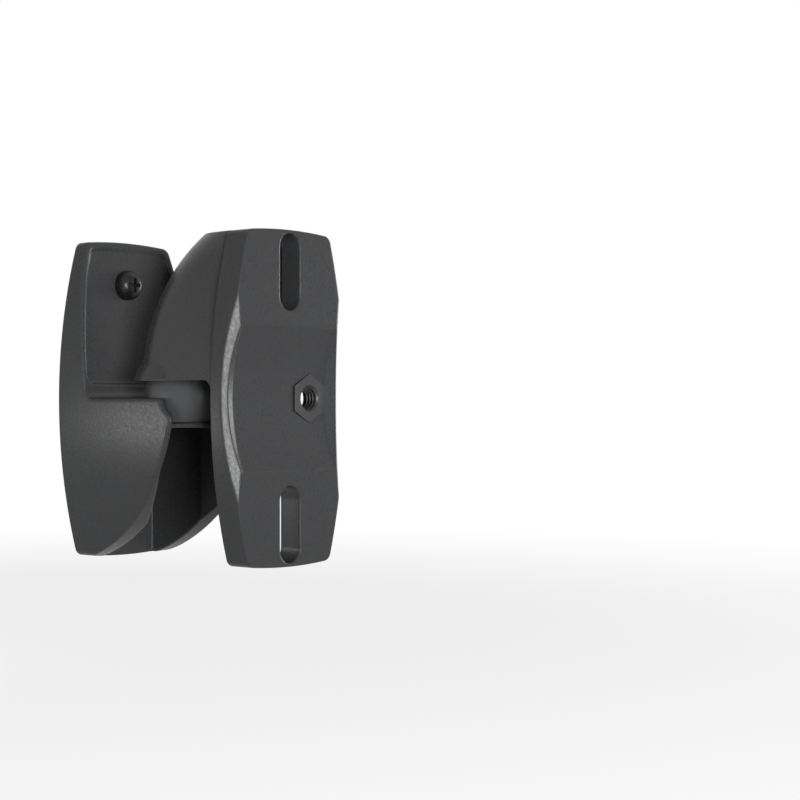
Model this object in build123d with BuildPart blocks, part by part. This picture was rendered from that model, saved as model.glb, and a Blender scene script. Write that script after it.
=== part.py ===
"""Swivel and tilt wall bracket for a small loudspeaker.

Frame: origin at the centre of the wall face, +Y into the wall, -Y towards the
speaker, +X to the right seen from the front, +Z up. Millimetres.
"""

import os
from math import acos, atan2, cos, hypot, radians, sin, sqrt, tan

from build123d import *

os.makedirs("parts", exist_ok=True)

# Reach of the whole bracket
projection = 76.8
axis_out = 39.0

# Barrel outline shared by the wall plate and the speaker plate
mid_half = 25.0
end_half = 18.0
half_height = 50.0
end_crown = 1.0
outline_corner = 3.0
side_draft = 5.7
wall_rise = 0.45

# Wall housing
plate_thickness = 3.0
flange_wall = 2.9
flange_end = 1.8
flange_top = 3.4
flange_middle = 7.9
flange_foot = 11.4
recess_sill = 4.6
recess_corner = 3.0
recess_fillet = 1.5
bead_edge = 0.7
shelf_corner = 3.6
cheek_front = 42.3
nose_front = 46.2
nose_drop = 7.2
belly_out = 35.2
belly_drop = 29.3
bottom_edge = 1.5
housing_edge = 0.9
roof_drop = 7.7
roof_thickness = 1.1
roof_fillet = 1.5
pocket_half = 11.2
pocket_corner_out = 26.0
mouth_out = 40.0
cheek_edge = 1.2
screw_hole = 5.4
screw_top_margin = 13.3
screw_foot_margin = 17.0

# Ball joint
ball_radius = 18.0
ball_flat = 7.2
ball_top = 14.0
socket_clearance = 0.3
well_clearance = 0.6
washer_inset = 0.5
washer_play = 0.1
spigot_radius = 7.5
spigot_flare = 1.0
spigot_clearance = 0.2
socket_wall = 3.85
crown_wall = 2.6
tilt_limit = 12.0

# Clamp bolt through the crown and the ball, with its washers and its nut in the ball's foot
bolt_diameter = 6.0
bolt_clearance = 0.3
bolt_head = 10.5
bolt_head_height = 3.3
bolt_head_crown = 1.6
key_flats = 4.0
key_depth = 2.0
saddle_radius = 8.5
saddle_thickness = 1.3
saddle_gap = 0.1
spring_radius = 5.8
spring_thickness = 1.2
clamp_nut_flats = 10.0
clamp_nut_thickness = 3.6
nut_pocket_gap = 0.15
nut_pocket_spare = 0.2
bolt_end_spare = 0.4

# Speaker bracket
ridge_out = 68.8
dome_foot = 5.3
dome_axis_high = 2.65
dome_nose = 18.8
dome_margin = 0.42
dome_wall = 2.6
foot_fillet = 4.5
slot_width = 8.4
slot_end_margin = 1.08
slot_panel_margin = 4.614
panel_radius = 53.6
panel_depth = 4.46
rim_margin = 2.1
rim_width = 3.2
rim_rise = 1.7
crescent_radius = 405.0
crescent_turn = 40.0
crest_edge = 0.5
soft_edge = 0.4

# Captive nut in the middle panel
captive_flats = 13.0
captive_thickness = 5.3
captive_bore = 6.8
captive_margin = 7.2
captive_gap = 0.15
captive_proud = 0.5
captive_chamfer = 0.6
captive_exit = 8.6
captive_floor = 1.5
captive_boss = 9.5

# Wall screws
screw_head = 9.6
screw_head_height = 4.4
screw_crown = 3.0
screw_shank = 4.8
screw_neck = 5.2
screw_length = 28.0
screw_point = 7.0
cross_length = 4.6
cross_width = 1.1
cross_depth = 1.8


side_radius = ((mid_half - end_half) ** 2 + (half_height - end_crown) ** 2) / (2 * (mid_half - end_half))
crown_radius = (end_crown**2 + end_half**2) / (2 * end_crown)
screw_high = half_height - screw_top_margin
screw_low = screw_foot_margin - half_height
slot_inner = sqrt(panel_radius**2 - (panel_radius - panel_depth) ** 2) + slot_panel_margin
slot_outer = half_height - slot_end_margin
slot_length = slot_outer - slot_inner
slot_spacing = slot_outer + slot_inner
socket_outer = ball_radius + socket_wall
crown_outer = ball_radius + crown_wall
rim_half = mid_half - rim_margin
panel_half = rim_half - rim_width
captive_offset = panel_half - captive_margin
ridge_reach = ridge_out - axis_out
ridge_half = mid_half - dome_margin
dome_lean = acos(dome_nose / hypot(ridge_half, ridge_reach)) - atan2(ridge_reach, ridge_half)


def bowed_sides(inset):
    """Add the two bowed sides of the plate outline, running on past its ends, to the open sketch."""
    tall = half_height + 2 * outline_corner
    middle = mid_half - inset
    end = middle - side_radius + sqrt(side_radius**2 - tall**2)
    with BuildLine() as outline:
        ThreePointArc((end, -tall), (middle, 0), (end, tall))
        Line((end, tall), (-end, tall))
        ThreePointArc((-end, tall), (-middle, 0), (-end, -tall))
        Line((-end, -tall), (end, -tall))
    make_face(outline.edges())


def arched_ends(inset):
    """Add a strip as tall as the plate, with its two arched ends, to the open sketch."""
    top = half_height - inset
    shoulder = top - crown_radius + sqrt(crown_radius**2 - mid_half**2)
    with BuildLine() as outline:
        Line((mid_half, -shoulder), (mid_half, shoulder))
        ThreePointArc((mid_half, shoulder), (0, top), (-mid_half, shoulder))
        Line((-mid_half, shoulder), (-mid_half, -shoulder))
        ThreePointArc((-mid_half, -shoulder), (0, -top), (mid_half, -shoulder))
    make_face(outline.edges())


def dome_outline(inset):
    """Add the plan of the dome, drawn in by inset, to the open sketch."""
    nose = dome_nose - inset
    reach = projection - axis_out
    touch = (nose * cos(dome_lean), -axis_out + nose * sin(dome_lean))
    foot = nose / cos(dome_lean) + reach * tan(dome_lean)
    with BuildLine() as outline:
        Line((-foot, -projection), (foot, -projection))
        Line((foot, -projection), touch)
        ThreePointArc(touch, (0, -axis_out + nose), (-touch[0], touch[1]))
        Line((-touch[0], touch[1]), (-foot, -projection))
    make_face(outline.edges())


def mouth_plan():
    """Add the plan of the flared mouth between the cheeks to the open sketch."""
    with BuildLine() as outline:
        Polyline(
            (-pocket_half, -pocket_corner_out),
            (-mouth_half, -mouth_out),
            (-lip_half, -housing_reach),
            (lip_half, -housing_reach),
            (mouth_half, -mouth_out),
            (pocket_half, -pocket_corner_out),
            close=True,
        )
    make_face(outline.edges())


# Wall housing: plate, side flanges, cheeks and the roof that carries the ball
housing_reach = axis_out + ball_radius
front_half = housing_reach * tan(radians(side_draft))
tip_half = mid_half - nose_front * tan(radians(side_draft)) - cheek_edge
mouth_half = tip_half - cheek_edge / 2
lip_half = mouth_half + (tip_half - mouth_half) / (nose_front - mouth_out) * (housing_reach - mouth_out)
ball_foot_radius = sqrt(ball_radius**2 - ball_flat**2)
above = half_height + end_crown
roof_under = -roof_drop - roof_thickness

with BuildPart() as wall_blank:
    with BuildSketch(Plane.XZ):
        bowed_sides(0)
    extrude(amount=housing_reach, taper=side_draft)
    with BuildSketch(Plane.XZ):
        arched_ends(-wall_rise)
    extrude(amount=housing_reach, mode=Mode.INTERSECT)
    wall_corners = wall_blank.edges().filter_by(
        lambda e: abs(e.center().X) > pocket_half and abs(e.center().Z) > half_height - outline_corner
        and -housing_reach < e.center().Y < 0 and abs(e.tangent_at(0.5).Y) > 0.9
    )
    fillet(wall_corners, outline_corner)

with BuildPart() as recess_core:
    with BuildSketch(Plane.XZ.offset(plate_thickness)) as recess:
        bowed_sides(flange_wall)
        with BuildSketch(mode=Mode.INTERSECT):
            arched_ends(flange_end - wall_rise)
        with Locations((0, recess_sill)):
            Rectangle(2 * mid_half, 2 * half_height, align=(Align.CENTER, Align.MAX), mode=Mode.SUBTRACT)
        fillet(recess.vertices(), recess_corner)
    extrude(amount=housing_reach)
    fillet(recess_core.faces().sort_by(Axis.Y)[-1].edges(), recess_fillet)

with BuildPart() as wall_housing:
    add(wall_blank.part)
    with BuildSketch(Plane.YZ) as side_view:
        with BuildLine():
            belly = ThreePointArc(
                (-nose_front, -nose_drop), (-belly_out, -belly_drop), (-bottom_edge, -above)
            )
            Spline((-cheek_front, 0), belly @ 0, tangents=((0, -1), belly % 0))
            Line((-cheek_front, 0), (-flange_foot, 0))
            ThreePointArc((-flange_foot, 0), (-flange_middle, half_height / 2), (-flange_top, above))
            Polyline((-flange_top, above), (0, above), (0, -above), (-bottom_edge, -above))
        make_face()
        fillet(side_view.vertices().sort_by_distance((-flange_foot, 0))[0], shelf_corner)
        fillet(side_view.vertices().sort_by_distance((-cheek_front, 0))[0], cheek_edge)
    extrude(amount=mid_half, both=True, mode=Mode.INTERSECT)
    rim = wall_housing.edges().filter_by(
        lambda e: abs(e.center().X) > tip_half / 2
        and e.center().Y < -flange_top
        and e.center().Z > -half_height + outline_corner
    )
    fillet(rim, housing_edge)

    add(recess_core.part, mode=Mode.SUBTRACT)
    beads = wall_housing.edges().filter_by(
        lambda e: abs(e.center().X) > end_half - 2 * flange_wall
        and abs(e.center().X) < mid_half - flange_wall
        and e.center().Y < -plate_thickness - recess_fillet - bead_edge
        and e.center().Z > recess_sill + recess_corner
    )
    fillet(beads, bead_edge)

    with Locations((0, -axis_out, -roof_drop)):
        Cylinder(
            ball_radius + well_clearance,
            above,
            align=(Align.CENTER, Align.CENTER, Align.MIN),
            mode=Mode.SUBTRACT,
        )
        Cylinder(ball_radius, roof_thickness, align=(Align.CENTER, Align.CENTER, Align.MAX))

    with BuildSketch(Plane.XY.offset(roof_under)):
        mouth_plan()
        with BuildLine() as pocket_back:
            Polyline(
                (-pocket_half, -pocket_corner_out),
                (-pocket_half, -plate_thickness),
                (pocket_half, -plate_thickness),
                (pocket_half, -pocket_corner_out),
                close=True,
            )
        make_face(pocket_back.edges())
    extrude(amount=-above, mode=Mode.SUBTRACT)
    with BuildSketch(Plane.XY.offset(-roof_drop)):
        mouth_plan()
    extrude(amount=above, mode=Mode.SUBTRACT)
    mouth = wall_housing.edges().filter_by(Axis.Z).filter_by(
        lambda e: abs(abs(e.center().X) - pocket_half) < cheek_edge
        and abs(e.center().Y + pocket_corner_out) < cheek_edge
        and e.center().Z < roof_under
    )
    fillet(mouth, cheek_edge)

    inside_roof = wall_housing.edges().filter_by(Axis.X).sort_by_distance((0, -plate_thickness, roof_under))
    fillet(inside_roof[0], roof_fillet)
    with Locations((0, -axis_out, roof_under)):
        Cone(
            spigot_radius + spigot_flare + spigot_clearance,
            spigot_radius + spigot_clearance,
            roof_thickness,
            align=(Align.CENTER, Align.CENTER, Align.MIN),
            mode=Mode.SUBTRACT,
        )
    with BuildSketch(Plane.XZ) as screw_holes:
        with Locations((0, screw_high), (0, screw_low)):
            Circle(screw_hole / 2)
    extrude(amount=plate_thickness, mode=Mode.SUBTRACT)

# Seat washer under the ball, a little smaller than the ball's foot
with BuildPart() as seat_washer:
    with BuildSketch(Plane.XY.offset(-roof_drop)):
        with Locations((0, -axis_out)):
            Circle(ball_foot_radius - washer_inset)
            Circle(spigot_radius + spigot_clearance, mode=Mode.SUBTRACT)
    extrude(amount=roof_drop - ball_flat - washer_play)

# Ball with a flat foot and crown, a spigot spread in the roof and a pocket for the clamp nut
nut_top = clamp_nut_thickness + nut_pocket_spare - ball_flat
with BuildPart() as ball:
    with Locations((0, -axis_out, 0)):
        Sphere(ball_radius)
        Cylinder(bolt_diameter / 2 + bolt_clearance, 3 * ball_radius, mode=Mode.SUBTRACT)
    split(bisect_by=Plane.XY.offset(-ball_flat), keep=Keep.TOP)
    split(bisect_by=Plane.XY.offset(ball_top), keep=Keep.BOTTOM)
    with Locations((0, -axis_out, -roof_drop)):
        Cylinder(spigot_radius, roof_drop - ball_flat, align=(Align.CENTER, Align.CENTER, Align.MIN))
        Cone(
            spigot_radius + spigot_flare,
            spigot_radius,
            roof_thickness,
            align=(Align.CENTER, Align.CENTER, Align.MAX),
        )
    with BuildSketch(Plane.XY.offset(nut_top)):
        with Locations((0, -axis_out)):
            RegularPolygon(clamp_nut_flats / 2 + nut_pocket_gap, 6, major_radius=False)
    extrude(amount=roof_under - nut_top, mode=Mode.SUBTRACT)

with BuildPart() as clamp_nut:
    with BuildSketch(Plane.XY.offset(nut_top)):
        with Locations((0, -axis_out)):
            RegularPolygon(clamp_nut_flats / 2, 6, major_radius=False)
            Circle(bolt_diameter / 2, mode=Mode.SUBTRACT)
    extrude(amount=-clamp_nut_thickness)

# Saddle that slides on the crown, with a flat top for the spring washer
saddle_seat = crown_outer + saddle_gap
saddle_top = saddle_seat + saddle_thickness
with BuildPart() as saddle_washer:
    with Locations((0, -axis_out, 0)):
        Cylinder(saddle_radius, saddle_top, align=(Align.CENTER, Align.CENTER, Align.MIN))
        Sphere(saddle_top + saddle_thickness / 4, mode=Mode.INTERSECT)
        Sphere(saddle_seat, mode=Mode.SUBTRACT)
        Cylinder(bolt_diameter / 2 + bolt_clearance, 3 * saddle_top, mode=Mode.SUBTRACT)

with BuildPart() as spring_washer:
    with BuildSketch(Plane.XY.offset(saddle_top)):
        with Locations((0, -axis_out)):
            Circle(spring_radius)
            Circle(bolt_diameter / 2 + bolt_clearance, mode=Mode.SUBTRACT)
    extrude(amount=spring_thickness)

# Clamp bolt: button head with a key socket, shank down into the nut
head_under = saddle_top + spring_thickness
head_top = head_under + bolt_head_height
with BuildPart() as clamp_bolt:
    with BuildSketch(Plane.XZ.offset(axis_out)):
        with BuildLine():
            Polyline(
                (0, head_top),
                (0, nut_top - clamp_nut_thickness + bolt_end_spare),
                (bolt_diameter / 2, nut_top - clamp_nut_thickness + bolt_end_spare),
                (bolt_diameter / 2, head_under),
                (bolt_head / 2, head_under),
                (bolt_head / 2, head_top - bolt_head_crown),
                (bolt_head / 2 - bolt_head_crown, head_top),
                close=True,
            )
        make_face()
    revolve(axis=Axis((0, -axis_out, 0), (0, 0, 1)))
    with BuildSketch(Plane.XY.offset(head_top)):
        with Locations((0, -axis_out)):
            RegularPolygon(key_flats / 2, 6, major_radius=False)
    extrude(amount=-key_depth, mode=Mode.SUBTRACT)

# Speaker bracket: dome over the ball, plate with slotted pads and a hollow middle panel
dome_axis = Axis((0, -projection, dome_axis_high), (1, 0, 0))

with BuildPart() as dome_core:
    with BuildSketch(Plane.XY.offset(dome_axis_high)):
        dome_outline(dome_wall)
    revolve(axis=dome_axis, revolution_arc=90)
    with BuildSketch(Plane.XY.offset(dome_axis_high)):
        dome_outline(dome_wall)
    extrude(amount=-foot_fillet)
    with BuildSketch(Plane.XZ.offset(ridge_out)):
        arched_ends(dome_wall)
    extrude(amount=-projection, mode=Mode.INTERSECT)
    with Locations((0, -axis_out, 0)):
        Sphere(crown_outer, mode=Mode.SUBTRACT)

plate_depth = projection - ridge_out
with BuildPart() as plate_blank:
    with BuildSketch(Plane.XZ.offset(ridge_out)):
        bowed_sides(0)
    extrude(amount=plate_depth, taper=side_draft)
    with BuildSketch(Plane.XZ.offset(ridge_out)):
        arched_ends(0)
    extrude(amount=plate_depth, mode=Mode.INTERSECT)
    plate_corners = plate_blank.edges().filter_by(
        lambda e: abs(e.center().X) > pocket_half and abs(e.center().Z) > half_height - outline_corner
        and -projection < e.center().Y < -ridge_out and abs(e.tangent_at(0.5).Y) > 0.9
    )
    fillet(plate_corners, outline_corner)

with BuildPart() as speaker_bracket:
    with BuildSketch(Plane.XY.offset(dome_axis_high)):
        dome_outline(0)
    revolve(axis=dome_axis, revolution_arc=90)
    with BuildSketch(Plane.XY.offset(dome_axis_high)):
        dome_outline(0)
    extrude(amount=-foot_fillet)
    with BuildSketch(Plane.XZ.offset(ridge_out)):
        arched_ends(0)
    extrude(amount=-projection, mode=Mode.INTERSECT)
    with Locations((0, -axis_out, 0)):
        Sphere(socket_outer)
    with BuildSketch(Plane.YZ) as under_dome:
        with BuildLine():
            Polyline((-ridge_out, dome_foot), (0, dome_foot), (0, -above), (-ridge_out, -above), close=True)
        make_face()
        fillet(under_dome.vertices().sort_by_distance((-ridge_out, dome_foot))[0], foot_fillet)
    extrude(amount=2 * mid_half, both=True, mode=Mode.SUBTRACT)
    add(plate_blank.part)

    add(dome_core.part, mode=Mode.SUBTRACT)
    with BuildSketch(Plane.XZ.offset(ridge_out)):
        with Locations((captive_offset, 0)):
            Circle(captive_boss)
    panel_out = projection - panel_depth
    nut_face = panel_out + captive_proud
    nut_back = nut_face - captive_thickness
    extrude(amount=nut_back - captive_floor - ridge_out)
    with Locations((0, -axis_out, 0)):
        Sphere(ball_radius + socket_clearance, mode=Mode.SUBTRACT)
    bolt_slot = bolt_diameter + 2 * bolt_clearance
    bolt_travel = 2 * crown_outer * tan(radians(tilt_limit))
    with BuildSketch(Plane.XY):
        with Locations((0, -axis_out)):
            SlotOverall(bolt_slot + bolt_travel + bolt_clearance, bolt_slot, rotation=90)
    extrude(amount=crown_outer, mode=Mode.SUBTRACT)

    panel_axis_out = panel_out + panel_radius
    rim_slope = (rim_half - panel_half) / rim_rise
    panel_inner = panel_radius - 2 * panel_depth
    panel_mouth = panel_half + 2 * panel_depth * rim_slope
    with BuildSketch(Plane.XY) as panel_tool:
        with BuildLine():
            Polyline(
                (-panel_half, -panel_out),
                (panel_half, -panel_out),
                (panel_mouth, -panel_out - 2 * panel_depth),
                (-panel_mouth, -panel_out - 2 * panel_depth),
                close=True,
            )
        make_face()
    revolve(
        axis=Axis((0, -panel_axis_out, 0), (1, 0, 0)), revolution_arc=360, mode=Mode.SUBTRACT
    )

    crest_out = panel_out + rim_rise
    turn = radians(crescent_turn)
    for side in (1, -1):
        across = Plane(
            origin=(side * rim_half, -crest_out, 0),
            x_dir=(side * sin(turn), -cos(turn), 0),
            z_dir=(side * cos(turn), sin(turn), 0),
        )
        with BuildSketch(across):
            with Locations((crescent_radius, 0)):
                Circle(crescent_radius)
        extrude(amount=mid_half, both=True, mode=Mode.SUBTRACT)

    with BuildSketch(Plane.XZ.offset(projection)):
        with GridLocations(0, slot_spacing, 1, 2):
            SlotOverall(slot_length, slot_width, rotation=90)
    extrude(amount=ridge_out - projection, mode=Mode.SUBTRACT)
    with BuildSketch(Plane.XZ.offset(nut_back)):
        with Locations((captive_offset, 0)):
            RegularPolygon(captive_flats / 2 + captive_gap, 6, major_radius=False, rotation=90)
    extrude(amount=projection - nut_back, mode=Mode.SUBTRACT)
    with BuildSketch(Plane.XZ.offset(nut_back)):
        with Locations((captive_offset, 0)):
            Circle(captive_exit / 2)
    extrude(amount=-captive_floor, mode=Mode.SUBTRACT)

    crests = speaker_bracket.edges().filter_by(
        lambda e: abs(abs(e.center().X) - rim_half) < soft_edge
        and abs(e.center().Z) < soft_edge
        and abs(e.center().Y + crest_out) < soft_edge
    )
    fillet(crests, crest_edge)
    shoulders = speaker_bracket.edges().filter_by(
        lambda e: abs(e.center().X) > (rim_half + mid_half) / 2
        and abs(e.center().Z) < soft_edge
        and -crest_out < e.center().Y < -ridge_out - soft_edge
    )
    fillet(shoulders, crest_edge)
    slot_mouths = speaker_bracket.edges().filter_by(
        lambda e: abs(e.center().Y + projection) < soft_edge / 4
        and abs(e.center().X) < slot_width / 2 + soft_edge
        and abs(abs(e.center().Z) - slot_spacing / 2) < slot_length / 2 + soft_edge / 4
    )
    fillet(slot_mouths, soft_edge)
    pad_rims = speaker_bracket.edges().filter_by(
        lambda e: abs(e.center().Y + projection) < soft_edge / 4
        and (abs(e.center().X) > panel_half / 2 or abs(e.center().Z) > half_height - soft_edge)
    )
    fillet(pad_rims, soft_edge)

# Captive nut, a little proud of the middle panel, a corner up
with BuildPart() as captive_nut:
    with BuildSketch(Plane.XZ.offset(nut_face)):
        with Locations((captive_offset, 0)):
            RegularPolygon(captive_flats / 2, 6, major_radius=False, rotation=90)
            Circle(captive_bore / 2, mode=Mode.SUBTRACT)
    extrude(amount=-captive_thickness)
    bore_mouths = captive_nut.edges().filter_by(GeomType.CIRCLE)
    chamfer(bore_mouths, captive_chamfer)

# Wall screws: pan head with a cross recess, shank and point
head_radius = screw_head / 2
shank_radius = screw_shank / 2
neck_radius = screw_neck / 2
neck_end = plate_thickness
with BuildPart() as wall_screws:
    for height in (screw_high, screw_low):
        at_head = Plane(origin=(0, -plate_thickness, height), x_dir=(1, 0, 0), z_dir=(0, -1, 0))
        with BuildSketch(Plane(at_head.origin, x_dir=(1, 0, 0), z_dir=(0, 0, 1))):
            with BuildLine():
                Polyline(
                    (0, screw_length),
                    (shank_radius, screw_length - screw_point),
                    (shank_radius, neck_end),
                    (neck_radius, neck_end),
                    (neck_radius, 0),
                    (head_radius, 0),
                    (head_radius, -screw_head_height + screw_crown),
                )
                ThreePointArc(
                    (head_radius, -screw_head_height + screw_crown),
                    (head_radius - 0.35 * screw_crown, -screw_head_height + 0.3 * screw_crown),
                    (head_radius - screw_crown, -screw_head_height),
                )
                Polyline(
                    (head_radius - screw_crown, -screw_head_height),
                    (0, -screw_head_height),
                    (0, screw_length),
                )
            make_face()
        revolve(axis=Axis((0, 0, height), (0, 1, 0)))
        with BuildSketch(at_head.offset(screw_head_height)):
            Rectangle(cross_length, cross_width)
            Rectangle(cross_width, cross_length)
        extrude(amount=-cross_depth, mode=Mode.SUBTRACT)

pieces = {
    "wall_housing": wall_housing,
    "wall_screws": wall_screws,
    "seat_washer": seat_washer,
    "ball": ball,
    "clamp_nut": clamp_nut,
    "saddle_washer": saddle_washer,
    "spring_washer": spring_washer,
    "clamp_bolt": clamp_bolt,
    "speaker_bracket": speaker_bracket,
    "captive_nut": captive_nut,
}
for name, piece in pieces.items():
    piece.part.label = name
    export_step(piece.part, f"parts/{name}.step")
    print(name, len(piece.part.solids()), round(piece.part.volume, 1))
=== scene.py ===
import math
import bpy
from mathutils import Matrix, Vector


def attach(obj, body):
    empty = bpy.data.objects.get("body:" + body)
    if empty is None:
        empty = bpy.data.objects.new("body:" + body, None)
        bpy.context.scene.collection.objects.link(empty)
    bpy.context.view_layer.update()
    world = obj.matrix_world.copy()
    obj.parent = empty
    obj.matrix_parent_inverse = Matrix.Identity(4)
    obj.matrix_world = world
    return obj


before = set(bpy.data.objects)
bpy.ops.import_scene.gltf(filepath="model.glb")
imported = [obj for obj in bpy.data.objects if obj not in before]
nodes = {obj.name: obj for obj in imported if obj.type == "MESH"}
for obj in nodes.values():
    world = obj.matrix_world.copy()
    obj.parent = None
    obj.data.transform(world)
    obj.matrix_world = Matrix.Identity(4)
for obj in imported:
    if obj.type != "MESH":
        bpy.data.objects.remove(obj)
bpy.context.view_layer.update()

mm = 0.001
print("frame loaded:", len(nodes), "nodes")


# effects that more than one finish uses

def addInput(group, name, value):
    socket = group.interface.new_socket(name, in_out="INPUT", socket_type="NodeSocketFloat")
    socket.default_value = value


def addOutput(group, name, kind="NodeSocketFloat"):
    group.interface.new_socket(name, in_out="OUTPUT", socket_type=kind)


grainLook = {"detail": 1.0, "waveDepth": 0.4, "grainDepth": 0.1, "roundSamples": 6}  # depths in mm


def makeGrainGroup():
    # fine pimples of a powder coat over the slow waviness and soft edges of the casting
    group = bpy.data.node_groups.new("powderGrain", "ShaderNodeTree")
    addInput(group, "Grain Scale", 2600.0)
    addInput(group, "Grain Strength", 0.3)
    addInput(group, "Wave Scale", 160.0)
    addInput(group, "Wave Strength", 0.1)
    addInput(group, "Round", 0.0)
    addOutput(group, "Shade")
    addOutput(group, "Normal", "NodeSocketVector")
    made, link = group.nodes, group.links
    start = made.new("NodeGroupInput")
    end = made.new("NodeGroupOutput")
    place = made.new("ShaderNodeTexCoord")
    fine = made.new("ShaderNodeTexNoise")
    fine.inputs["Detail"].default_value = grainLook["detail"]
    wave = made.new("ShaderNodeTexNoise")
    wave.inputs["Detail"].default_value = grainLook["detail"]
    rounded = made.new("ShaderNodeBevel")
    rounded.samples = grainLook["roundSamples"]
    waveBump = made.new("ShaderNodeBump")
    waveBump.inputs["Distance"].default_value = grainLook["waveDepth"] * mm
    fineBump = made.new("ShaderNodeBump")
    fineBump.inputs["Distance"].default_value = grainLook["grainDepth"] * mm
    link.new(place.outputs["Object"], fine.inputs["Vector"])
    link.new(place.outputs["Object"], wave.inputs["Vector"])
    link.new(start.outputs["Grain Scale"], fine.inputs["Scale"])
    link.new(start.outputs["Wave Scale"], wave.inputs["Scale"])
    link.new(start.outputs["Wave Strength"], waveBump.inputs["Strength"])
    link.new(start.outputs["Grain Strength"], fineBump.inputs["Strength"])
    link.new(wave.outputs["Fac"], waveBump.inputs["Height"])
    link.new(fine.outputs["Fac"], fineBump.inputs["Height"])
    link.new(start.outputs["Round"], rounded.inputs["Radius"])
    link.new(rounded.outputs["Normal"], waveBump.inputs["Normal"])
    link.new(waveBump.outputs["Normal"], fineBump.inputs["Normal"])
    link.new(fine.outputs["Fac"], end.inputs["Shade"])
    link.new(fineBump.outputs["Normal"], end.inputs["Normal"])
    return group


edgeHighlightLook = {  # width in mm; the cosines between which an edge comes in
    "width": 0.6, "samples": 6, "startsAt": 0.99, "fullAt": 0.86,
}


def makeEdgeHighlightGroup():
    # painted highlight: edges get a lighter base colour, found where a rounded normal leaves the
    # true one
    group = bpy.data.node_groups.new("paintedEdgeHighlight", "ShaderNodeTree")
    addInput(group, "Edge Width", edgeHighlightLook["width"] * mm)
    addOutput(group, "Edge")
    made, link = group.nodes, group.links
    start = made.new("NodeGroupInput")
    end = made.new("NodeGroupOutput")
    rounded = made.new("ShaderNodeBevel")
    rounded.samples = edgeHighlightLook["samples"]
    surface = made.new("ShaderNodeNewGeometry")
    agree = made.new("ShaderNodeVectorMath")
    agree.operation = "DOT_PRODUCT"
    spread = made.new("ShaderNodeMapRange")
    spread.inputs["From Min"].default_value = edgeHighlightLook["startsAt"]
    spread.inputs["From Max"].default_value = edgeHighlightLook["fullAt"]
    link.new(start.outputs["Edge Width"], rounded.inputs["Radius"])
    link.new(rounded.outputs["Normal"], agree.inputs[0])
    link.new(surface.outputs["Normal"], agree.inputs[1])
    link.new(agree.outputs["Value"], spread.inputs["Value"])
    link.new(spread.outputs["Result"], end.inputs["Edge"])
    return group


grainGroup = makeGrainGroup()
edgeHighlightGroup = makeEdgeHighlightGroup()


def shadeOf(color, part):
    return tuple(c * part for c in color) + (1,)


def blendColors(mat, factor, dark, light):
    mix = mat.node_tree.nodes.new("ShaderNodeMix")
    mix.data_type = "RGBA"
    mix.inputs["A"].default_value = dark
    mix.inputs["B"].default_value = light
    mat.node_tree.links.new(factor, mix.inputs["Factor"])
    return mix


noiseSpan = (0.3, 0.7)  # most of the noise lies between these


def spreadValue(mat, factor, low, high):
    spread = mat.node_tree.nodes.new("ShaderNodeMapRange")
    spread.inputs["From Min"].default_value = noiseSpan[0]
    spread.inputs["From Max"].default_value = noiseSpan[1]
    spread.inputs["To Min"].default_value = low
    spread.inputs["To Max"].default_value = high
    mat.node_tree.links.new(factor, spread.inputs["Value"])
    return spread.outputs["Result"]


coatLook = {  # edge is the tone of the painted edge highlight, round is the edge radius in mm
    "housingCoat": {
        "color": (0.0345, 0.0352, 0.0365), "rough": 0.30, "roughSpread": 0.05,
        "specular": 0.13, "mottle": 0.03, "edge": 2.0, "round": 1.3,
        "Grain Scale": 1150.0, "Grain Strength": 0.32, "Wave Scale": 160.0, "Wave Strength": 0.06,
    },
    "bracketCoat": {
        "color": (0.0345, 0.0352, 0.0365), "rough": 0.30, "roughSpread": 0.05,
        "specular": 0.13, "mottle": 0.03, "edge": 2.0, "round": 0.9,
        "Grain Scale": 1150.0, "Grain Strength": 0.24, "Wave Scale": 160.0, "Wave Strength": 0.06,
    },
    "ballCoat": {
        "color": (0.0520, 0.0530, 0.0545), "rough": 0.34, "roughSpread": 0.05,
        "specular": 0.20, "mottle": 0.08, "edge": 1.3, "round": 0.4,
        "Grain Scale": 2200.0, "Grain Strength": 0.15, "Wave Scale": 120.0, "Wave Strength": 0.05,
    },
}


def makeCoat(name, look):
    mat = bpy.data.materials.new(name)
    mat.use_nodes = True
    made, link = mat.node_tree.nodes, mat.node_tree.links
    shader = made["Principled BSDF"]
    shader.inputs["Specular IOR Level"].default_value = look["specular"]
    grain = made.new("ShaderNodeGroup")
    grain.node_tree = grainGroup
    for key in ("Grain Scale", "Grain Strength", "Wave Scale", "Wave Strength"):
        grain.inputs[key].default_value = look[key]
    grain.inputs["Round"].default_value = look["round"] * mm
    edge = made.new("ShaderNodeGroup")
    edge.node_tree = edgeHighlightGroup
    color, mottle = look["color"], look["mottle"]
    body = blendColors(
        mat, grain.outputs["Shade"], shadeOf(color, 1 - mottle), shadeOf(color, 1 + mottle)
    )
    # painted highlight: the edge mask lightens the base colour where light would catch the rounded
    # edges
    edgeHighlighted = blendColors(mat, edge.outputs["Edge"], shadeOf(color, 1), shadeOf(color, look["edge"]))
    link.new(body.outputs["Result"], edgeHighlighted.inputs["A"])
    link.new(edgeHighlighted.outputs["Result"], shader.inputs["Base Color"])
    spread = look["roughSpread"]
    rough = spreadValue(
        mat, grain.outputs["Shade"], look["rough"] - spread, look["rough"] + spread
    )
    link.new(rough, shader.inputs["Roughness"])
    link.new(grain.outputs["Normal"], shader.inputs["Normal"])
    return mat


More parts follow.
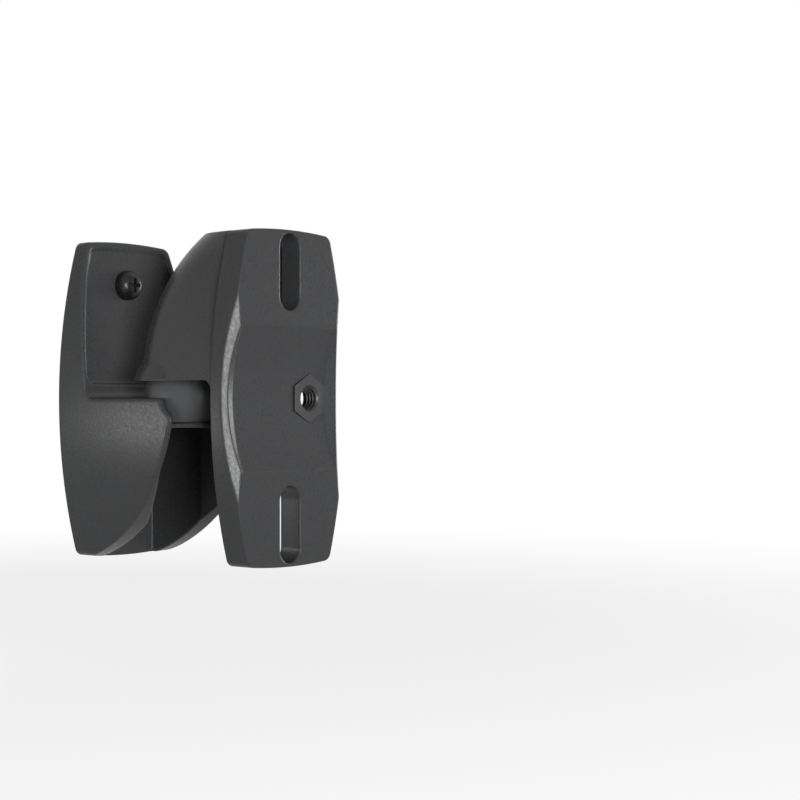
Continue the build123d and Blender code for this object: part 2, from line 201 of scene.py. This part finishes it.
steelLook = {
    "blackSteel": {
        "color": (0.018, 0.018, 0.019), "rough": 0.34, "roughSpread": 0.06,
        "metal": 0.5, "specular": 0.2, "mottle": 0.35, "scale": 1500.0,
    },
    "nutSteel": {
        "color": (0.036, 0.036, 0.038), "rough": 0.40, "roughSpread": 0.06,
        "metal": 0.5, "specular": 0.3, "mottle": 0.25, "scale": 1900.0,
    },
    "discNylon": {
        "color": (0.011, 0.011, 0.012), "rough": 0.55, "roughSpread": 0.06,
        "metal": 0.0, "specular": 0.3, "mottle": 0.20, "scale": 900.0,
    },
}
steelGrain = {"Grain Strength": 0.08, "Wave Strength": 0.02}


def makeSteel(name, look):
    mat = bpy.data.materials.new(name)
    mat.use_nodes = True
    made, link = mat.node_tree.nodes, mat.node_tree.links
    shader = made["Principled BSDF"]
    shader.inputs["Metallic"].default_value = look["metal"]
    shader.inputs["Specular IOR Level"].default_value = look["specular"]
    grain = made.new("ShaderNodeGroup")
    grain.node_tree = grainGroup
    grain.inputs["Grain Scale"].default_value = look["scale"]
    for key, value in steelGrain.items():
        grain.inputs[key].default_value = value
    color, mottle = look["color"], look["mottle"]
    body = blendColors(
        mat, grain.outputs["Shade"], shadeOf(color, 1 - mottle), shadeOf(color, 1 + mottle)
    )
    link.new(body.outputs["Result"], shader.inputs["Base Color"])
    spread = look["roughSpread"]
    rough = spreadValue(
        mat, grain.outputs["Shade"], look["rough"] - spread, look["rough"] + spread
    )
    link.new(rough, shader.inputs["Roughness"])
    link.new(grain.outputs["Normal"], shader.inputs["Normal"])
    return mat


nutFace = {  # turned rings round the nut's axis, in mm
    "center": (12.5, 0.0), "ringStep": 0.42, "ringDepth": 0.03, "ringStrength": 0.5, "wobble": 0.4,
}
waveUnit = 20  # the Wave texture turns this many radians in each unit of its scale


def addTurnedRings(mat):
    made, link = mat.node_tree.nodes, mat.node_tree.links
    shader = made["Principled BSDF"]
    place = made.new("ShaderNodeTexCoord")
    center = made.new("ShaderNodeMapping")
    x, z = nutFace["center"]
    center.inputs["Location"].default_value = (-x * mm, 0, -z * mm)
    rings = made.new("ShaderNodeTexWave")
    rings.wave_type = "RINGS"
    rings.rings_direction = "Y"
    rings.inputs["Scale"].default_value = 2 * math.pi / (waveUnit * nutFace["ringStep"] * mm)
    rings.inputs["Distortion"].default_value = nutFace["wobble"]
    bump = made.new("ShaderNodeBump")
    bump.inputs["Strength"].default_value = nutFace["ringStrength"]
    bump.inputs["Distance"].default_value = nutFace["ringDepth"] * mm
    link.new(place.outputs["Object"], center.inputs["Vector"])
    link.new(center.outputs["Vector"], rings.inputs["Vector"])
    link.new(rings.outputs["Fac"], bump.inputs["Height"])
    link.new(shader.inputs["Normal"].links[0].from_socket, bump.inputs["Normal"])
    link.new(bump.outputs["Normal"], shader.inputs["Normal"])


finishes = {name: makeCoat(name, look) for name, look in coatLook.items()}
finishes.update({name: makeSteel(name, look) for name, look in steelLook.items()})
addTurnedRings(finishes["nutSteel"])

nodeFinish = {
    "wall_housing": "housingCoat", "speaker_bracket": "bracketCoat", "ball": "ballCoat",
    "captive_nut": "nutSteel", "seat_washer": "discNylon",
}
for name, piece in nodes.items():
    piece.data.materials.clear()
    piece.data.materials.append(finishes[nodeFinish.get(name, "blackSteel")])
print("finishes set:", len(finishes))


# threads, one ridge wound along a spiral and placed at each screw or nut

threadLook = {
    "wallScrewThreads": {
        "body": "wall", "slot": "black_steel", "finish": "blackSteel",
        "places": [(0, 2.25, 36.7), (0, 2.25, -33.0)],
        "Radius": 2.35, "Pitch": 2.25, "Turns": 7.0, "Ridge": 0.75, "Ridge Turn": 0.0,
        "Tip Radius": 0.8, "Tip Turns": 2.0,
    },
    "captiveNutThread": {
        "body": "speaker", "slot": "black_steel", "finish": "nutSteel",
        "places": [(12.5, -72.2, 0)],
        "Radius": 3.45, "Pitch": 1.25, "Turns": 3.25, "Ridge": 0.45, "Ridge Turn": math.pi,
    },
}


ridgeLook = {"sides": 3, "stepsPerTurn": 32, "fadedSize": 0.15, "runIn": 0.07}
threadInputs = {"Radius": 0.003, "Pitch": 0.002, "Turns": 4.0, "Ridge": 0.0005, "Ridge Turn": 0.0}
tipInputs = {"Tip Radius": 0.0005, "Tip Turns": 3.0}


def makeThreadTree(name, pointed):
    tree = bpy.data.node_groups.new(name, "GeometryNodeTree")
    tree.interface.new_socket("Places", in_out="INPUT", socket_type="NodeSocketGeometry")
    for key, value in (threadInputs | (tipInputs if pointed else {})).items():
        addInput(tree, key, value)
    tree.interface.new_socket("Finish", in_out="INPUT", socket_type="NodeSocketMaterial")
    tree.interface.new_socket("Thread", in_out="OUTPUT", socket_type="NodeSocketGeometry")
    made, link = tree.nodes, tree.links
    start = made.new("NodeGroupInput")
    end = made.new("NodeGroupOutput")
    given = start.outputs

    def times(a, b):
        node = made.new("ShaderNodeMath")
        node.operation = "MULTIPLY"
        link.new(a, node.inputs[0])
        link.new(b, node.inputs[1])
        return node.outputs[0]

    # three-sided profile, its point away from the axis or turned towards it
    corner = made.new("GeometryNodeCurvePrimitiveCircle")
    corner.inputs["Resolution"].default_value = ridgeLook["sides"]
    link.new(given["Ridge"], corner.inputs["Radius"])
    turnBy = made.new("ShaderNodeCombineXYZ")
    link.new(given["Ridge Turn"], turnBy.inputs["Z"])
    profile = made.new("GeometryNodeTransform")
    link.new(corner.outputs["Curve"], profile.inputs["Geometry"])
    link.new(turnBy.outputs[0], profile.inputs["Rotation"])

    def ridge(turns, fromRadius, toRadius, fadeFrom, fadeTo):
        spiral = made.new("GeometryNodeCurveSpiral")
        spiral.inputs["Resolution"].default_value = ridgeLook["stepsPerTurn"]
        link.new(turns, spiral.inputs["Rotations"])
        link.new(fromRadius, spiral.inputs["Start Radius"])
        link.new(toRadius, spiral.inputs["End Radius"])
        link.new(times(turns, given["Pitch"]), spiral.inputs["Height"])
        upright = made.new("GeometryNodeSetCurveNormal")
        upright.mode = "Z_UP"
        along = made.new("GeometryNodeSplineParameter")
        fade = made.new("ShaderNodeMapRange")
        fade.inputs["From Min"].default_value = fadeFrom
        fade.inputs["From Max"].default_value = fadeTo
        fade.inputs["To Min"].default_value = ridgeLook["fadedSize"]
        wound = made.new("GeometryNodeCurveToMesh")
        wound.inputs["Fill Caps"].default_value = True
        link.new(spiral.outputs["Curve"], upright.inputs["Curve"])
        link.new(upright.outputs["Curve"], wound.inputs["Curve"])
        link.new(profile.outputs["Geometry"], wound.inputs["Profile Curve"])
        link.new(along.outputs["Factor"], fade.inputs["Value"])
        link.new(fade.outputs["Result"], wound.inputs["Scale"])
        return wound.outputs["Mesh"]

    # the ridge runs in over the first part of a turn
    shape = ridge(given["Turns"], given["Radius"], given["Radius"], 0.0, ridgeLook["runIn"])
    if pointed:
        tip = ridge(given["Tip Turns"], given["Radius"], given["Tip Radius"], 1.0, 0.0)
        lift = made.new("ShaderNodeCombineXYZ")
        link.new(times(given["Turns"], given["Pitch"]), lift.inputs["Z"])
        moved = made.new("GeometryNodeTransform")
        link.new(tip, moved.inputs["Geometry"])
        link.new(lift.outputs[0], moved.inputs["Translation"])
        both = made.new("GeometryNodeJoinGeometry")
        link.new(shape, both.inputs[0])
        link.new(moved.outputs[0], both.inputs[0])
        shape = both.outputs[0]
    placed = made.new("GeometryNodeInstanceOnPoints")
    placed.inputs["Rotation"].default_value = (-math.pi / 2, 0, 0)  # axis into the wall
    link.new(given["Places"], placed.inputs["Points"])
    link.new(shape, placed.inputs["Instance"])
    whole = made.new("GeometryNodeRealizeInstances")
    dressed = made.new("GeometryNodeSetMaterial")
    link.new(placed.outputs["Instances"], whole.inputs["Geometry"])
    link.new(whole.outputs["Geometry"], dressed.inputs["Geometry"])
    link.new(given["Finish"], dressed.inputs["Material"])
    link.new(dressed.outputs["Geometry"], end.inputs["Thread"])
    return tree


def makeThread(name, look):
    seeds = bpy.data.meshes.new(name + "Places")
    seeds.from_pydata([tuple(c * mm for c in at) for at in look["places"]], [], [])
    piece = bpy.data.objects.new(name, seeds)
    bpy.context.collection.objects.link(piece)
    tree = makeThreadTree(name + "Tree", "Tip Turns" in look)
    wind = piece.modifiers.new("thread", "NODES")
    wind.node_group = tree
    plain = ("Turns", "Tip Turns", "Ridge Turn")  # counts and angles, not lengths
    for socket in tree.interface.items_tree:
        if socket.name in look:
            wind[socket.identifier] = look[socket.name] * (1 if socket.name in plain else mm)
        elif socket.name == "Finish":
            wind[socket.identifier] = finishes[look["finish"]]
    graph = bpy.context.evaluated_depsgraph_get()
    mesh = bpy.data.meshes.new_from_object(piece.evaluated_get(graph))
    piece.modifiers.clear()
    piece.data = mesh
    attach(piece, look["body"])
    return len(mesh.polygons)


for name, look in threadLook.items():
    print(name, makeThread(name, look), "faces")


# floor, light and camera

stageLook = {
    "floorDrop": 0.075, "floorHalf": 3.0, "paint": 0.82, "rough": 0.9,
    "nearWhite": 0.80, "near": 0.10, "far": 0.50,
}
worldLook = {"diffuse": 0.05}
lampAim = (0, -39, 0)  # the ball's centre, in mm
lampLook = {  # azimuth 0 is the front, -90 the left; distance and size in metres
    "front": {"azimuth": -31, "elevation": 1, "distance": 0.80, "size": 0.22, "watts": 8.0},
    "right": {"azimuth": 75, "elevation": 5, "distance": 0.80, "size": 0.22, "watts": 2.2},
    "cheek": {"azimuth": -121, "elevation": -6, "distance": 0.166, "size": 0.04, "watts": 0.060},
    "high": {"azimuth": 60, "elevation": 60, "distance": 0.80, "size": 0.70, "watts": 0.5},
}
photoCamera = {
    "azimuth": -49.7153, "elevation": -0.145, "lens": 77.70,
    "sensor": 36.0, "clipStart": 0.01, "at": (-0.36977, -0.43281, -0.00180),
}


def seenDirectly(tree):
    # 1 for camera, mirror and see-through rays
    made, link = tree.nodes, tree.links
    path = made.new("ShaderNodeLightPath")
    either = made.new("ShaderNodeMath")
    either.operation = "MAXIMUM"
    link.new(path.outputs["Is Camera Ray"], either.inputs[0])
    link.new(path.outputs["Is Glossy Ray"], either.inputs[1])
    anyOf = made.new("ShaderNodeMath")
    anyOf.operation = "MAXIMUM"
    link.new(either.outputs[0], anyOf.inputs[0])
    link.new(path.outputs["Is Transmission Ray"], anyOf.inputs[1])
    return anyOf.outputs[0]


def makeFloor():
    half = stageLook["floorHalf"]
    z = -stageLook["floorDrop"]
    mesh = bpy.data.meshes.new("paleFloor")
    mesh.from_pydata(
        [(-half, -half, z), (half, -half, z), (half, half, z), (-half, half, z)], [], [(0, 1, 2, 3)]
    )
    floor = bpy.data.objects.new("paleFloor", mesh)
    bpy.context.collection.objects.link(floor)
    mat = bpy.data.materials.new("paleFloor")
    mat.use_nodes = True
    made, link = mat.node_tree.nodes, mat.node_tree.links
    paint = made["Principled BSDF"]
    paint.inputs["Base Color"].default_value = (stageLook["paint"],) * 3 + (1,)
    paint.inputs["Roughness"].default_value = stageLook["rough"]
    paint.inputs["Specular IOR Level"].default_value = 0.0
    # the floor keeps the shadow near the object and runs out to plain white
    place = made.new("ShaderNodeTexCoord")
    flat = made.new("ShaderNodeVectorMath")
    flat.operation = "MULTIPLY"
    flat.inputs[1].default_value = (1, 1, 0)
    reach = made.new("ShaderNodeVectorMath")
    reach.operation = "LENGTH"
    fade = made.new("ShaderNodeMapRange")
    fade.interpolation_type = "SMOOTHSTEP"
    fade.inputs["From Min"].default_value = stageLook["near"]
    fade.inputs["From Max"].default_value = stageLook["far"]
    fade.inputs["To Min"].default_value = stageLook["nearWhite"]
    part = made.new("ShaderNodeMath")
    part.operation = "MULTIPLY"
    white = made.new("ShaderNodeEmission")
    white.inputs["Strength"].default_value = 1.0
    mix = made.new("ShaderNodeMixShader")
    link.new(place.outputs["Object"], flat.inputs[0])
    link.new(flat.outputs["Vector"], reach.inputs[0])
    link.new(reach.outputs["Value"], fade.inputs["Value"])
    link.new(fade.outputs["Result"], part.inputs[0])
    link.new(seenDirectly(mat.node_tree), part.inputs[1])
    link.new(part.outputs[0], mix.inputs["Fac"])
    link.new(paint.outputs[0], mix.inputs[1])
    link.new(white.outputs[0], mix.inputs[2])
    link.new(mix.outputs[0], made["Material Output"].inputs["Surface"])
    mesh.materials.append(mat)


def makeWorld():
    world = bpy.data.worlds.new("studio")
    bpy.context.scene.world = world
    world.use_nodes = True
    made, link = world.node_tree.nodes, world.node_tree.links
    fill = made["Background"]
    fill.inputs["Color"].default_value = (1, 1, 1, 1)
    fill.inputs["Strength"].default_value = worldLook["diffuse"]
    white = made.new("ShaderNodeBackground")
    white.inputs["Color"].default_value = (1, 1, 1, 1)
    white.inputs["Strength"].default_value = 1.0
    mix = made.new("ShaderNodeMixShader")
    link.new(seenDirectly(world.node_tree), mix.inputs["Fac"])
    link.new(fill.outputs[0], mix.inputs[1])
    link.new(white.outputs[0], mix.inputs[2])
    link.new(mix.outputs[0], made["World Output"].inputs["Surface"])


def outward(azimuth, elevation):
    a, e = math.radians(azimuth), math.radians(elevation)
    return Vector((math.sin(a) * math.cos(e), -math.cos(a) * math.cos(e), math.sin(e)))


def makeLamps():
    middle = Vector(lampAim) * mm
    for name, look in lampLook.items():
        away = outward(look["azimuth"], look["elevation"])
        data = bpy.data.lights.new(name, "AREA")
        data.shape = "DISK"
        data.size = look["size"]
        data.energy = look["watts"]
        lamp = bpy.data.objects.new(name, data)
        lamp.location = middle + away * look["distance"]
        lamp.rotation_euler = (-away).to_track_quat("-Z", "Y").to_euler()
        lamp.visible_camera = False
        bpy.context.collection.objects.link(lamp)


def makeCamera():
    away = outward(photoCamera["azimuth"], photoCamera["elevation"])
    data = bpy.data.cameras.new("photoCamera")
    data.lens = photoCamera["lens"]
    data.sensor_width = photoCamera["sensor"]
    data.clip_start = photoCamera["clipStart"]
    camera = bpy.data.objects.new("photoCamera", data)
    camera.location = photoCamera["at"]
    camera.rotation_euler = (-away).to_track_quat("-Z", "Y").to_euler()
    bpy.context.collection.objects.link(camera)
    bpy.context.scene.camera = camera


makeFloor()
makeWorld()
makeLamps()
makeCamera()
bpy.context.scene.view_settings.view_transform = "Standard"
print("floor, light and camera set")
